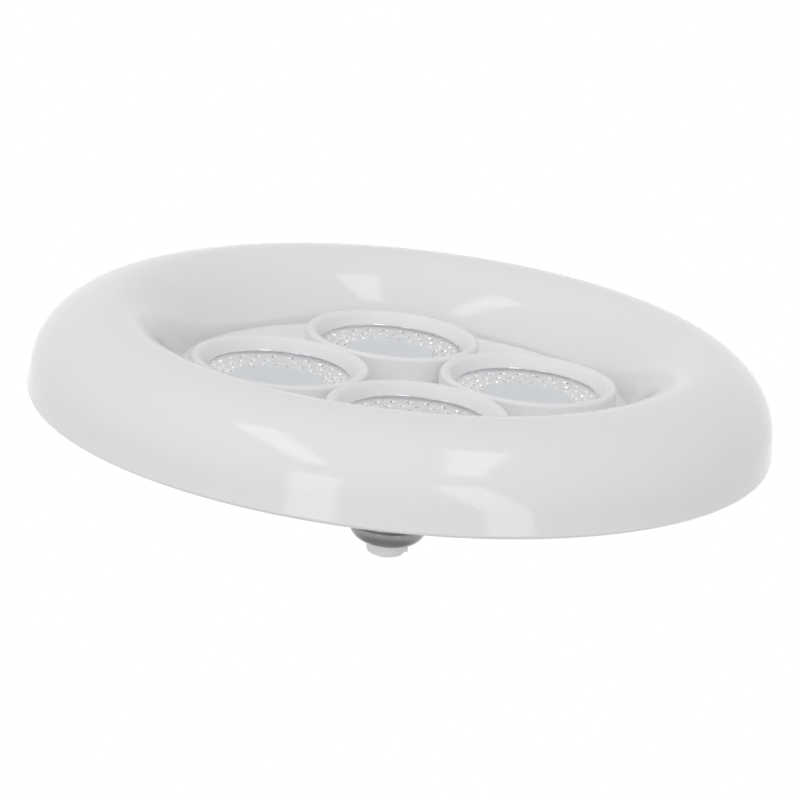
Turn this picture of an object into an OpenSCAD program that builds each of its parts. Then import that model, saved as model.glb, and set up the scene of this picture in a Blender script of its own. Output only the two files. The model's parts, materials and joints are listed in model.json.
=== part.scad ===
// Flat screw-in lamp: an opal ring round four small spots, on an E27 cap
// The light faces +Z. The origin is the tip of the centre contact, on the axis
// Widths stack outwards from the light sources, and heights stack upwards from the cap

/* [Light sources] */
// Length of an LED package
led_l = 3.5; // [3:0.1:4]
// Width of an LED package
led_w = 2.8; // [2:0.1:3]
// Height of an LED package
led_h = 0.8; // [0.6:0.1:1.2]
// Diameter of the circle of LEDs in a spot
spot_led_d = 18; // [15:0.5:20]
// LEDs in the circle of each spot
spot_led_count = 8; // [5:1:8]
// Distance between the ring's two rows of LEDs
led_row_gap = 12; // [9:0.5:15]
// LEDs in each row of the ring
ring_led_count = 48; // [24:6:60]

/* [Lenses and reflectors] */
// Diameter of the frosted middle of a lens
frost_d = 28.8; // [26:0.2:34]
// Width of the crystal band round it
crystal_w = 10; // [8:0.2:12]
// Width of the lens's edge behind the socket's lip
lens_edge_w = 2.95; // [2.4:0.05:3.5]
// Thickness of a lens
lens_t = 2.2; // [1.8:0.1:3]
// Depth of the frosted middle below the lens's edge
lens_dip = 2.4; // [1:0.1:2.8]
// Depth of the stones in the crystal band
cut_depth = 0.8; // [0.4:0.1:1.2]
// Rows of cut stones in the crystal band
stone_rows = 3; // [2:1:4]
// Cut stones in each of those rows
stone_count = 24; // [20:1:30]
// Thickness of a reflector's wall
reflector_t = 1.2; // [0.8:0.1:1.6]

/* [Spot panel] */
// Thickness of the panel's floor
panel_t = 2; // [1.6:0.1:3]
// Wall of a socket round its lens
socket_t = 2.4; // [2:0.1:2.8]
// Height of a socket above the panel's floor
socket_h = 8.6; // [7:0.1:12]
// Width of the flat land round a socket
land_w = 3; // [2.4:0.1:3.6]
// Rounding of the land's outer edge
land_round = 1.4; // [0.6:0.1:1.5]
// Depth of a window below the land
window_depth = 4; // [3:0.1:5]
// How far the rims of neighbouring sockets run into each other
socket_merge = 0.6; // [0.2:0.1:1.2]
// Distance from a socket to the edge of the well
well_margin = 3.7; // [3:0.1:6]

/* [Ring diffuser] */
// Width of the slope from the well up to the crest
slope_w = 23.3; // [19:0.1:28]
// Width of the ring outside its crest
dome_w = 26; // [22:0.5:31]
// Height of the ring from its foot to its crest
ring_h = 31; // [26:0.5:36]
// Height of the straight outer wall
wall_h = 7.8; // [6.5:0.1:10]
// Draft of the outer wall, at its top
wall_draft = 0.7; // [0.2:0.1:1.2]
// Rounding of the outer wall's lower edge
foot_round = 1.4; // [0.6:0.1:1.6]
// Power of the dome's outer quarter, 2 for a true ellipse
dome_power = 1.9; // [1.7:0.05:2.3]
// Power of the slope into the well, 2 for a true ellipse
slope_power = 1.75; // [1.6:0.05:2.2]
// Wall of the ring
ring_t = 2; // [1.6:0.1:2.6]
// Width of the flange at the ring's inner foot
ring_flange_w = 7.5; // [6:0.5:9]

/* [Boards and carrier plate] */
// Thickness of both light boards
board_t = 1.2; // [1:0.1:1.6]
// Width of the ring board outside its outer row of LEDs
ring_board_edge = 8; // [6:0.5:9]
// Thickness of the carrier plate
plate_t = 1.2; // [1:0.1:2]

/* [Back housing] */
// Wall of the dish
dish_t = 2; // [1.6:0.1:2.4]
// Width of the dish's rim outside its cone
rim_w = 9; // [8:0.5:12]
// Width of the flat bottom outside the driver's bosses
bottom_margin = 4; // [3:0.5:8]
// Radius of the bend between the bottom and the cone
dish_bend_r = 14; // [8:1:17]
// Radius of the bend between the cone and the rim
rim_bend_r = 8; // [4:0.5:10]
// Width of the upright lip round the carrier plate
lip_w = 3; // [2.4:0.1:3.6]
// Height of that lip above the plate's seat
lip_h = 4; // [3:0.2:5]
// Number of vents in the cone
vent_count = 18; // [12:6:24]
// Width of a vent
vent_w = 3; // [2:0.2:4]
// Length of a vent
vent_l = 20; // [12:1:24]
// Distance from the dish's flat bottom to the vents
vent_start = 12; // [8:1:14]

/* [Screw cap] */
// Diameter over the thread
cap_thread_d = 26.2; // [26.05:0.05:26.45]
// Depth of the thread
thread_depth = 0.95; // [0.85:0.05:1.1]
// Pitch of the thread
thread_pitch = 3.629; // [3.6:0.001:3.65]
// Turns of the thread
thread_turns = 4; // [3:1:4]
// Height of the shell's shoulder
shoulder_h = 5.6; // [4.6:0.1:6.4]
// Height of the plain skirt above the thread
skirt_h = 2; // [1.6:0.1:4]
// Diameter of the shell's lower rim
shell_rim_d = 17.6; // [17:0.1:19]
// Width of the shell's lip round the insulator
shell_lip_w = 1.3; // [1:0.1:1.6]
// Sheet thickness of the shell
shell_t = 0.4; // [0.3:0.05:0.5]
// Height of the insulator below the shell
insulator_h = 4.4; // [3.6:0.1:5]
// Diameter of the insulator at its tip
insulator_tip_d = 12.4; // [11.4:0.1:13]
// Wall of the insulator
insulator_t = 2; // [1.6:0.1:2.4]
// Length of the insulator inside the shell
insulator_hold = 3.4; // [2.6:0.1:4]
// Height of the nib on the insulator's side
nib_h = 1.8; // [1:0.1:2.2]
// Width of that nib
nib_w = 1.3; // [1:0.1:2]
// Diameter of the centre contact
contact_d = 9.2; // [8:0.1:10]
// Height of the centre contact below the insulator
contact_h = 0.8; // [0.6:0.1:1.6]
// Diameter of the contact's shank
shank_d = 3.2; // [2.4:0.1:4]

/* [Neck collar] */
// Height of the collar between the shell and the dish
collar_h = 3; // [3:0.5:7]
// Diameter of the collar at the shell
collar_d = 31; // [29:0.5:34]
// Diameter of the collar at the dish
collar_top_d = 40; // [37:0.5:46]
// Width of the collar's flange inside the dish
collar_flange_w = 8; // [6.5:0.5:10]
// Thickness of that flange
collar_flange_t = 2; // [1.6:0.1:2.6]
// Length of the spigot inside the shell
spigot_l = 7; // [5:0.5:9]
// Wall of the spigot
spigot_t = 1.8; // [1.4:0.1:2.2]

/* [Driver] */
// Thickness of the driver board
driver_t = 1.6; // [1.2:0.1:2]
// Height of the driver board above the collar's flange
driver_gap = 2.6; // [2.4:0.1:3.6]
// Distance from the collar's flange to the board's bosses
driver_boss_gap = 2.6; // [2:0.1:4]
// Angle of the board's screws from its length
driver_angle = 32.7; // [31:0.1:35]
// Width of the board outside its screws
driver_edge = 4; // [3:0.5:5]
// Room between the tallest part and the carrier plate
parts_gap = 2; // [2:0.1:6]
// Diameter of the input capacitor
input_cap_d = 10; // [8:0.5:11.5]
// Height of the input capacitor
input_cap_h = 11.4; // [9:0.1:14]
// Diameter of the output capacitor
output_cap_d = 8; // [6:0.5:9.5]
// Height of the output capacitor
output_cap_h = 11; // [9:0.5:13]
// Diameter of the choke's drum core
choke_d = 12; // [10:0.5:14]
// Height of the choke's drum core
choke_h = 9; // [7:0.5:10]
// Diameter of the choke's winding
winding_d = 10; // [8:0.5:11.5]
// Diameter of the fuse resistor
fuse_d = 3.4; // [2.6:0.1:4]
// Length of the fuse resistor
fuse_l = 9; // [8:0.5:10]
// Diameter of the varistor's disc
varistor_d = 7; // [5:0.5:8]
// Thickness of the varistor
varistor_t = 3; // [2:0.5:4]

/* [Fasteners and wires] */
// Number of screws in the carrier plate
plate_screw_count = 6; // [3:3:6]
// Thread diameter of the plate and panel screws
screw_d = 3; // [2.5:0.1:3.5]
// Head diameter of the plate and panel screws
screw_head_d = 5.6; // [5:0.1:6.6]
// Head height of the plate and panel screws
screw_head_h = 1.8; // [1.4:0.1:2.2]
// Distance from the centre board's edge to the panel's screws
panel_screw_edge = 10; // [8:0.5:12]
// Thread diameter of the driver and collar screws
small_screw_d = 2.2; // [2:0.1:2.6]
// Head diameter of the driver and collar screws
small_head_d = 4; // [3.6:0.1:4.6]
// Head height of the driver and collar screws
small_head_h = 1.3; // [1:0.1:1.6]
// Outer diameter of the mains wires
mains_wire_d = 1.8; // [1.4:0.1:2]
// Outer diameter of the light boards' wires
lead_d = 1.4; // [1:0.1:1.6]

/* [Clearances] */
// Gap round a piece that drops into another
fit_gap = 0.25; // [0.15:0.05:0.4]
// Gap round a screw in a clearance hole
screw_gap = 0.2; // [0.15:0.05:0.3]
// Gap between a screw's head and what stands beside it
head_gap = 0.8; // [0.6:0.1:1.2]

/* [Hidden] */
$fn = 96;

// Angles of the spots, and of the screws between them
spot_count = 4;
spots = [for (i = [0:spot_count - 1]) 360 * i / spot_count];
spot_gaps = [for (i = [0:spot_count - 1]) 360 * (i + 0.5) / spot_count];

// Radii, stacked outwards from a spot's own axis and then from the lamp's axis
frost_r = frost_d / 2;
window_r = frost_r + crystal_w;
lens_r = window_r + lens_edge_w;
socket_bore_r = lens_r + fit_gap;
socket_r = socket_bore_r + socket_t;
spot_r = (socket_r - socket_merge / 2) / sin(180 / spot_count);
well_r = spot_r + socket_r + well_margin;
crest_r = well_r + slope_w;
ring_r = crest_r + dome_w;
lip_r = ring_r - wall_draft - ring_t - fit_gap;
lip_bore_r = lip_r - lip_w;
plate_r = lip_bore_r - fit_gap;
spot_board_r = well_r - ring_flange_w - fit_gap;
panel_screw_r = spot_board_r - panel_screw_edge;
plate_screw_r = well_r + ring_t + head_gap + screw_head_d / 2;
ring_board_bore_r = plate_screw_r + screw_head_d / 2 + head_gap;
led_rows = [crest_r - led_row_gap / 2, crest_r + led_row_gap / 2];
ring_board_r = led_rows[1] + ring_board_edge;

// Radii of the cap, the collar and the fasteners
thread_gap = 0.05;
boss_wall = 1.9;
small_boss_wall = 1.6;
boss_r = screw_d / 2 + boss_wall;
small_boss_r = small_screw_d / 2 + small_boss_wall;
thread_r = cap_thread_d / 2;
root_r = thread_r - thread_depth;
shell_rim_r = shell_rim_d / 2;
insulator_r = shell_rim_r - shell_lip_w;
spigot_r = root_r - shell_t - fit_gap;
spigot_bore_r = spigot_r - spigot_t;
collar_top_r = collar_top_d / 2;
collar_hole_r = collar_top_r + fit_gap;
collar_flange_r = collar_top_r + collar_flange_w;
collar_screw_r = (collar_top_r + collar_flange_r) / 2;
collar_screw_count = 3;
driver_screw_r = collar_flange_r + driver_boss_gap + small_boss_r;
driver_screw_x = driver_screw_r * cos(driver_angle);
driver_screw_y = driver_screw_r * sin(driver_angle);
dish_bottom_r = driver_screw_r + small_boss_r + bottom_margin;
dish_top_r = ring_r - rim_w;
vent_r = dish_bottom_r + vent_start + vent_l / 2;

// Heights, stacked from the tip of the contact to the crest of the ring
rim_z = contact_h + insulator_h;
thread_z = rim_z + shoulder_h;
skirt_z = thread_z + thread_turns * thread_pitch;
shell_top_z = skirt_z + skirt_h;
dish_z = shell_top_z + collar_h;
dish_floor_z = dish_z + dish_t;
collar_top_z = dish_floor_z + collar_flange_t;
driver_z = collar_top_z + driver_gap;
driver_top_z = driver_z + driver_t;
seat_z = driver_top_z + max(input_cap_h, output_cap_h) + parts_gap;
ring_z = seat_z - dish_t;
deck_z = seat_z + plate_t;
board_z = deck_z + board_t;
panel_z = deck_z + ring_t;
floor_z = panel_z + panel_t;
land_z = floor_z + socket_h;
window_z = land_z - window_depth;
lens_z = window_z - lens_t;

// Angle of the dish's cone, and how far it moves an offset corner
cone_angle = atan2(ring_z - dish_z, dish_top_r - dish_bottom_r);
cone_shift = dish_t * tan(cone_angle / 2);

// Lengths of the screws, and of the blind holes that they go into
screw_tip = 0.6;
plate_grip = 6;
plate_pilot = plate_grip + 1;
plate_screw_l = plate_t + plate_grip;
driver_grip = 3.6;
driver_pilot = driver_grip + 0.8;
driver_fix_l = driver_t + driver_grip;
collar_boss_h = driver_gap - 0.4;
collar_screw_l = dish_t + collar_flange_t + collar_boss_h - screw_tip;
panel_grip = panel_t * 0.6;
panel_screw_l = plate_t + ring_t + panel_grip;

// Share of the shell's shoulder that is round, the rest being a cone
shoulder_bulge = 0.7;

// Turn from the axes to the nib on the insulator, and how it sits in the side
nib_angle = -8;
nib_deep = 1.8;
nib_proud = 0.1;

// Share of a stone that its flat tip keeps, the gap between stones, and how deep they are rooted
stone_tip = 0.2;
stone_gap = 0.3;
stone_root = 0.1;

// Holes for the leads
lead_hole_d = 5;
ring_lead_y = plate_screw_r;

// Places of the parts on the driver board, from its middle
input_cap_at = [-21, 9];
output_cap_at = [13, -12];
choke_at = [1, 4];
chip_at = [-1, -13];
bridge_at = [-12, -10];
fuse_at = [-22, -9];
varistor_at = [-10, 13];
connector_at = [21, 8];

// Sizes of the driver's small parts
chip_size = [5, 4, 1.5];
bridge_size = [4.8, 4, 2.4];
leg_size = [0.4, 0.9, 0.3];
leg_tuck = 0.1;
choke_flange_t = 1.3;
choke_post_r = 2.6;
can_bead_z = 1.7;
can_bead = 0.3;
can_curl_w = 1.1;
fuse_cap_l = 1.8;
connector_size = [8, 9, 7];
way_pitch = 4;
way_depth = 3;
way_z = driver_top_z + connector_size[2] - way_depth;

// Lists the places round a circle, as angles
function around(count, first = 0) = [for (i = [0:count - 1]) first + 360 * i / count];

// Unit vector of v
function unit(v) = v / norm(v);

// Points of the arc that rounds the corner p, between its neighbours a and b
function corner(a, p, b) = let(
    r = len(p) > 2 ? p[2] : 0,
    q = [p[0], p[1]],
    u = unit([a[0], a[1]] - q),
    v = unit([b[0], b[1]] - q),
    half = acos(u * v) / 2,
    c = q + unit(u + v) * r / sin(half),
    from = q + u * r / tan(half) - c,
    turn = 180 - 2 * half,
    side = u[0] * v[1] - u[1] * v[0] > 0 ? -1 : 1,
    steps = ceil(turn / 12)
  ) r == 0 ? [q] : [for (i = [0:steps]) let(t = side * turn * i / steps)
    c + [from[0] * cos(t) - from[1] * sin(t), from[0] * sin(t) + from[1] * cos(t)]];

// Closed outline through the corners v, each [x, y] or [x, y, rounding]
function outline(v) = let(n = len(v))
  [for (i = [0:n - 1]) each corner(v[(i + n - 1) % n], v[i], v[(i + 1) % n])];

// Quarter of a superellipse about c, with half axes a and b, from angle t0 to t1
function dome(c, a, b, power, t0, t1) = [for (i = [0:18]) let(t = t0 + (t1 - t0) * i / 18)
  [c[0] + a * sign(cos(t)) * pow(abs(cos(t)), 2 / power), c[1] + b * pow(abs(sin(t)), 2 / power)]];

// Point at t between p1 and p2 on the smooth curve through four points
function curve_point(p0, p1, p2, p3, t) = 0.5 * (2 * p1 + (p2 - p0) * t
  + (2 * p0 - 5 * p1 + 4 * p2 - p3) * t * t + (3 * p1 - p0 - 3 * p2 + p3) * t * t * t);

// Smooth curve through the points p, with steps points a span
function curve(p, steps) = let(n = len(p) - 1) concat([for (i = [0:n - 1]) for (j = [0:steps - 1])
  curve_point(p[max(i - 1, 0)], p[i], p[i + 1], p[min(i + 2, n)], j / steps)], [p[n]]);

// Turns an outline of [radius, height] corners about the axis
module turned(corners, facets = $fn) {
  rotate_extrude($fn = facets) polygon(outline(corners));
}

// Puts the children at radius r and each angle of the list
module placed(angles, r) {
  for (a = angles) rotate([0, 0, a]) translate([r, 0, 0]) children();
}

// Round wire of diameter d along a smooth curve through the points p
module wire(p, d, ref = [1, 0, 0]) {
  path = curve(p, 4);
  sides = 8;
  last = len(path) - 1;
  rings = [for (i = [0:last]) let(
      t = unit(path[min(i + 1, last)] - path[max(i - 1, 0)]),
      a = unit(cross(t, ref)),
      b = cross(t, a)
    ) for (k = [0:sides - 1]) path[i] + d / 2 * (cos(360 * k / sides) * a + sin(360 * k / sides) * b)];
  walls = [for (i = [0:last - 1]) for (k = [0:sides - 1]) let(m = (k + 1) % sides)
    [i * sides + k, (i + 1) * sides + k, (i + 1) * sides + m, i * sides + m]];
  ends = [[for (k = [0:sides - 1]) k], [for (k = [sides - 1:-1:0]) last * sides + k]];
  polyhedron(points = rings, faces = concat(walls, ends));
}

// Pan-head screw with its head's seat at z = 0, pointing down
module screw(d, head_d, head_h, length) {
  turned([
    [0, -length], [d / 2 - screw_tip, -length], [d / 2, -length + screw_tip], [d / 2, 0],
    [head_d / 2, 0], [head_d / 2, head_h, head_h / 2], [0, head_h]
  ]);
}

// Opal doughnut: outer wall, dome, slope into the well and the flange at its foot
module ring_diffuser() {
  wall_top = [ring_r - wall_draft, ring_z + wall_h];
  dome_c = [crest_r, wall_top[1]];
  slope_c = [crest_r, deck_z];
  dome_a = wall_top[0] - crest_r;
  dome_b = ring_h - wall_h;
  slope_a = crest_r - well_r;
  slope_b = ring_z + ring_h - deck_z;
  foot = outline([[ring_r - ring_t, ring_z], [ring_r, ring_z, foot_round], wall_top]);
  color("whitesmoke") rotate_extrude() union() {
    polygon(concat(
      [for (i = [0:len(foot) - 2]) foot[i]],
      dome(dome_c, dome_a, dome_b, dome_power, 0, 90),
      dome(slope_c, slope_a, slope_b, slope_power, 95, 180),
      dome(slope_c, slope_a - ring_t, slope_b - ring_t, slope_power, 180, 95),
      dome(dome_c, dome_a - ring_t, dome_b - ring_t, dome_power, 90, 0)
    ));
    translate([well_r - ring_flange_w, deck_z]) square([ring_flange_w + ring_t / 2, ring_t]);
  }
}

// Ring of one socket's wall and lip, about the socket's own axis
module socket() {
  turned([
    [socket_r, panel_z], [socket_r, land_z, land_round], [socket_r - land_w, land_z, land_round],
    [window_r, window_z], [socket_bore_r, window_z], [socket_bore_r, panel_z]
  ]);
}

// Centre moulding with four sockets, clamping the ring's flange
module spot_panel() {
  color("white") difference() {
    union() {
      difference() {
        translate([0, 0, panel_z]) cylinder(r = well_r - fit_gap, h = panel_t);
        placed(spots, spot_r) translate([0, 0, panel_z - 1])
          cylinder(r = socket_r - socket_t / 2, h = panel_t + 2);
      }
      placed(spots, spot_r) socket();
      placed(spot_gaps, panel_screw_r) translate([0, 0, deck_z])
        cylinder(r = boss_r, h = ring_t + panel_t / 2);
    }
    placed(spot_gaps, panel_screw_r) translate([0, 0, deck_z - 1])
      cylinder(r = screw_d / 2 + thread_gap, h = ring_t + (panel_t + panel_grip) / 2 + 1);
  }
}

// Diamond-shaped stone with half diagonals a and b, narrowing down to its flat tip
module stone(a, b) {
  square = [[a, 0], [0, b], [-a, 0], [0, -b]];
  points = concat([for (p = square) [p[0] * stone_tip, p[1] * stone_tip, 0]],
    [for (p = square) [p[0], p[1], cut_depth]]);
  sides = [for (k = [0:3]) let(m = (k + 1) % 4) [k, k + 4, m + 4, m]];
  polyhedron(points = points, faces = concat([[0, 1, 2, 3], [7, 6, 5, 4]], sides));
}

// Cut stones of the crystal band, in staggered rows that hang from its sloping underside
module crystal_stones() {
  row_w = crystal_w / (stone_rows + 1);
  keep = 1 - stone_gap / row_w;
  slope = atan2(lens_dip, crystal_w);
  for (i = [1:stone_rows]) {
    row_r = frost_r + row_w * i;
    placed(around(stone_count, 180 * i / stone_count), row_r)
      translate([0, 0, row_w * i * tan(slope) - lens_dip]) rotate([0, -slope, 0])
      translate([0, 0, stone_root]) stone(row_w / cos(slope) * keep, PI * row_r / stone_count * keep);
  }
}

// Dished clear disc: an edge, a band that slopes down over the stones, and a frosted flat middle
module spot_lens(angle) {
  color("lightsteelblue", 0.6) placed([angle], spot_r) translate([0, 0, lens_z]) union() {
    turned([
      [0, -lens_dip], [frost_r, -lens_dip], [frost_r, cut_depth - lens_dip], [window_r, cut_depth],
      [window_r, 0], [lens_r, 0], [lens_r, lens_t, 0.4], [window_r, lens_t],
      [frost_r, lens_t - lens_dip], [0, lens_t - lens_dip]
    ], 48);
    crystal_stones();
  }
}

// Bright collar that carries the lens and rings its light sources
module spot_reflector(angle) {
  color("silver") placed([angle], spot_r) turned([
    [frost_r, board_z], [frost_r + reflector_t, board_z],
    [window_r + reflector_t / 2, lens_z - reflector_t], [lens_r, lens_z - reflector_t],
    [lens_r, lens_z], [window_r, lens_z]
  ]);
}

// One light source, lying on a board
module led() {
  translate([-led_w / 2, -led_l / 2, board_z]) cube([led_w, led_l, led_h]);
}

// Centre board with holes for the panel's bosses and for the leads
module spot_led_board() {
  color("gainsboro") difference() {
    translate([0, 0, deck_z]) cylinder(r = spot_board_r, h = board_t);
    placed(spot_gaps, panel_screw_r) translate([0, 0, deck_z - 1])
      cylinder(r = boss_r + fit_gap, h = board_t + 2);
    translate([0, 0, deck_z - 1]) cylinder(d = lead_hole_d, h = board_t + 2);
  }
}

// A circle of light sources and a middle one under each lens
module spot_leds() {
  color("khaki") placed(spots, spot_r) {
    led();
    placed(around(spot_led_count), spot_led_d / 2) led();
  }
}

// Annular board under the doughnut
module ring_led_board() {
  color("gainsboro") translate([0, 0, deck_z]) difference() {
    cylinder(r = ring_board_r, h = board_t);
    translate([0, 0, -1]) cylinder(r = ring_board_bore_r, h = board_t + 2);
  }
}

// Two staggered rows of light sources
module ring_leds() {
  color("khaki") union() {
    placed(around(ring_led_count), led_rows[0]) led();
    placed(around(ring_led_count, 180 / ring_led_count), led_rows[1]) led();
  }
}

// Aluminium disc between the dish and the boards
module carrier_plate() {
  color("silver") difference() {
    translate([0, 0, seat_z]) cylinder(r = plate_r, h = plate_t);
    translate([0, 0, seat_z - 1]) {
      placed(around(plate_screw_count), plate_screw_r)
        cylinder(r = screw_d / 2 + screw_gap, h = plate_t + 2);
      placed(spot_gaps, panel_screw_r) cylinder(r = screw_d / 2 + screw_gap, h = plate_t + 2);
      cylinder(d = lead_hole_d, h = plate_t + 2);
      translate([0, ring_lead_y, 0]) cylinder(d = lead_hole_d, h = plate_t + 2);
    }
  }
}

// Corners of the dish's outer face, from the neck hole to the top of its lip
function dish_outside() = [
  [collar_hole_r, dish_z], [dish_bottom_r, dish_z, dish_bend_r], [dish_top_r, ring_z, rim_bend_r],
  [lip_r, ring_z, 0.8], [lip_r, seat_z + lip_h, 0.5]
];

// Moulded dish with its rim, bosses and vents
module back_housing() {
  color("white") difference() {
    union() {
      turned(concat(dish_outside(), [
        [lip_bore_r, seat_z + lip_h, 0.5], [lip_bore_r, seat_z],
        [dish_top_r - cone_shift, seat_z, rim_bend_r + dish_t],
        [dish_bottom_r - cone_shift, dish_floor_z, dish_bend_r - dish_t],
        [collar_hole_r, dish_floor_z]
      ]));
      intersection() {
        turned(concat(dish_outside(), [[collar_hole_r, seat_z + lip_h]]));
        union() {
          placed(around(plate_screw_count), plate_screw_r) translate([0, 0, dish_z])
            cylinder(r = boss_r, h = seat_z - dish_z);
          driver_places() translate([0, 0, dish_z]) cylinder(r = small_boss_r, h = driver_z - dish_z);
        }
      }
    }
    placed(around(plate_screw_count), plate_screw_r) translate([0, 0, seat_z - plate_pilot])
      cylinder(r = screw_d / 2 + thread_gap, h = plate_pilot + 1);
    driver_places() translate([0, 0, driver_z - driver_pilot])
      cylinder(r = small_screw_d / 2 + thread_gap, h = driver_pilot + 1);
    placed(around(collar_screw_count), collar_screw_r) translate([0, 0, dish_z - 1])
      cylinder(r = small_screw_d / 2 + screw_gap, h = dish_t + 2);
    placed(around(vent_count, 180 / vent_count), vent_r) vent();
  }
}

// Slot with round ends, through the cone
module vent() {
  run = vent_l - vent_w;
  translate([0, 0, dish_z]) {
    translate([-run / 2, -vent_w / 2, 0]) cube([run, vent_w, seat_z - dish_z]);
    translate([-run / 2, 0, 0]) cylinder(d = vent_w, h = seat_z - dish_z);
    translate([run / 2, 0, 0]) cylinder(d = vent_w, h = seat_z - dish_z);
  }
}

// Puts the children at the driver board's four screws
module driver_places() {
  for (x = [-1, 1]) for (y = [-1, 1])
    translate([x * driver_screw_x, y * driver_screw_y, 0]) children();
}

// Insulating collar, with a spigot in the shell and a flange in the dish
module neck_collar() {
  color("white") difference() {
    union() {
      turned([
        [spigot_bore_r, shell_top_z - spigot_l], [spigot_r, shell_top_z - spigot_l, 0.5],
        [spigot_r, shell_top_z], [collar_d / 2, shell_top_z, 0.8], [collar_top_r, dish_z, 1.5],
        [collar_top_r, dish_floor_z], [collar_flange_r, dish_floor_z],
        [collar_flange_r, collar_top_z, 0.5], [spigot_bore_r, collar_top_z]
      ]);
      placed(around(collar_screw_count), collar_screw_r) translate([0, 0, dish_floor_z])
        cylinder(r = small_boss_r, h = collar_flange_t + collar_boss_h);
    }
    placed(around(collar_screw_count), collar_screw_r) translate([0, 0, dish_floor_z - 1])
      cylinder(r = small_screw_d / 2 + thread_gap, h = collar_flange_t + collar_boss_h + 2);
  }
}

// Radius of the rolled thread at height z above its start, which is a crest
function thread_radius(z) = root_r + thread_depth / 2 * (1 + cos(360 * z / thread_pitch));

// Point of the shell's shoulder, from its rim at t = 0 to the thread at t = 1. A bulge of 1 is an ellipse
function shoulder_point(t) = [
  shell_rim_r + (thread_r - shell_rim_r) * sin(90 * t),
  rim_z + shoulder_h * (shoulder_bulge * (1 - cos(90 * t)) + (1 - shoulder_bulge) * t)
];

// Rolled sheet shell, with its shoulder, thread rings and plain skirt
module screw_shell() {
  steps = 12;
  shoulder = [for (i = [0:6]) shoulder_point(i / 6)];
  rolled = [for (i = [1:steps * thread_turns]) let(z = thread_pitch * i / steps)
    [thread_radius(z), thread_z + z]];
  outside = concat(shoulder, rolled, [[thread_r, shell_top_z]]);
  inside = [for (i = [len(outside) - 1:-1:1]) outside[i] - [shell_t, 0]];
  lip = [
    [shell_rim_r - shell_t, rim_z + shell_t], [insulator_r + thread_gap, rim_z + shell_t],
    [insulator_r + thread_gap, rim_z]
  ];
  color("lightgray") rotate_extrude() polygon(concat(outside, inside, lip));
}

// Moulded insulator, flanged behind the shell's lip, with a nib on its side
module cap_insulator() {
  tip_r = insulator_tip_d / 2;
  hold_r = shell_rim_r - shell_t - fit_gap;
  bore_r = shank_d / 2 + thread_gap;
  lip_top = rim_z + shell_t;
  color("gainsboro") union() {
    turned([
      [bore_r, contact_h], [tip_r, contact_h, 0.9], [insulator_r - 0.5, rim_z - insulator_h * 0.3],
      [insulator_r, rim_z], [insulator_r, lip_top], [hold_r, lip_top], [hold_r, rim_z + insulator_hold],
      [hold_r - insulator_t, rim_z + insulator_hold], [insulator_r - insulator_t, rim_z],
      [tip_r - insulator_t, contact_h + insulator_t], [bore_r, contact_h + insulator_t]
    ]);
    rotate([0, 0, nib_angle])
      translate([insulator_r - nib_deep, -nib_w / 2, contact_h + insulator_h * 0.2])
      cube([nib_deep + nib_proud, nib_w, nib_h]);
  }
}

// Riveted brass contact at the tip of the cap
module centre_contact() {
  shank_top = contact_h + insulator_h;
  color("goldenrod") turned([
    [0, 0], [contact_d / 2 - contact_h, 0, contact_h / 2], [contact_d / 2, contact_h * 0.75],
    [contact_d / 2, contact_h], [shank_d / 2, contact_h], [shank_d / 2, shank_top], [0, shank_top]
  ]);
}

// Board of the mains driver, on four bosses of the dish
module driver_board() {
  half = [driver_screw_x + driver_edge, driver_screw_y + driver_edge];
  color("darkgreen") difference() {
    translate([-half[0], -half[1], driver_z]) cube([2 * half[0], 2 * half[1], driver_t]);
    driver_places() translate([0, 0, driver_z - 1])
      cylinder(r = small_screw_d / 2 + screw_gap, h = driver_t + 2);
  }
}

// Puts the children on the driver board at the place p
module on_board(p) {
  translate([p[0], p[1], driver_top_z]) children();
}

// Electrolytic can with its rolled neck
module capacitor(d, h) {
  turned([
    [0, 0], [d / 2, 0, 0.4], [d / 2, can_bead_z - can_bead], [d / 2 - can_bead, can_bead_z],
    [d / 2, can_bead_z + can_bead], [d / 2, h, 0.6], [d / 2 - can_curl_w, h],
    [d / 2 - can_curl_w, h - can_bead], [0, h - can_bead]
  ]);
}

module input_capacitor() {
  color("black") on_board(input_cap_at) capacitor(input_cap_d, input_cap_h);
}

module output_capacitor() {
  color("black") on_board(output_cap_at) capacitor(output_cap_d, output_cap_h);
}

// Ferrite drum of the choke
module choke_core() {
  color("dimgray") on_board(choke_at) turned([
    [0, 0], [choke_d / 2, 0], [choke_d / 2, choke_flange_t], [choke_post_r, choke_flange_t],
    [choke_post_r, choke_h - choke_flange_t], [choke_d / 2, choke_h - choke_flange_t],
    [choke_d / 2, choke_h], [0, choke_h]
  ]);
}

// Copper winding between the drum's flanges
module choke_winding() {
  color("peru") on_board(choke_at) turned([
    [choke_post_r, choke_flange_t], [winding_d / 2, choke_flange_t],
    [winding_d / 2, choke_h - choke_flange_t], [choke_post_r, choke_h - choke_flange_t]
  ]);
}

// Surface-mounted package with two rows of legs
module package(size, legs, pitch) {
  reach = size[1] / 2 + leg_size[1] / 2 - leg_tuck;
  translate([-size[0] / 2, -size[1] / 2, leg_tuck]) cube(size);
  for (i = [0:legs - 1]) for (side = [-1, 1]) let(x = (i - (legs - 1) / 2) * pitch)
    translate([x - leg_size[0] / 2, side * reach - leg_size[1] / 2, 0]) cube(leg_size);
}

module driver_chip() {
  color("black") on_board(chip_at) package(chip_size, 4, 1.27);
}

module bridge_rectifier() {
  color("black") on_board(bridge_at) package(bridge_size, 2, 2.5);
}

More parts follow.
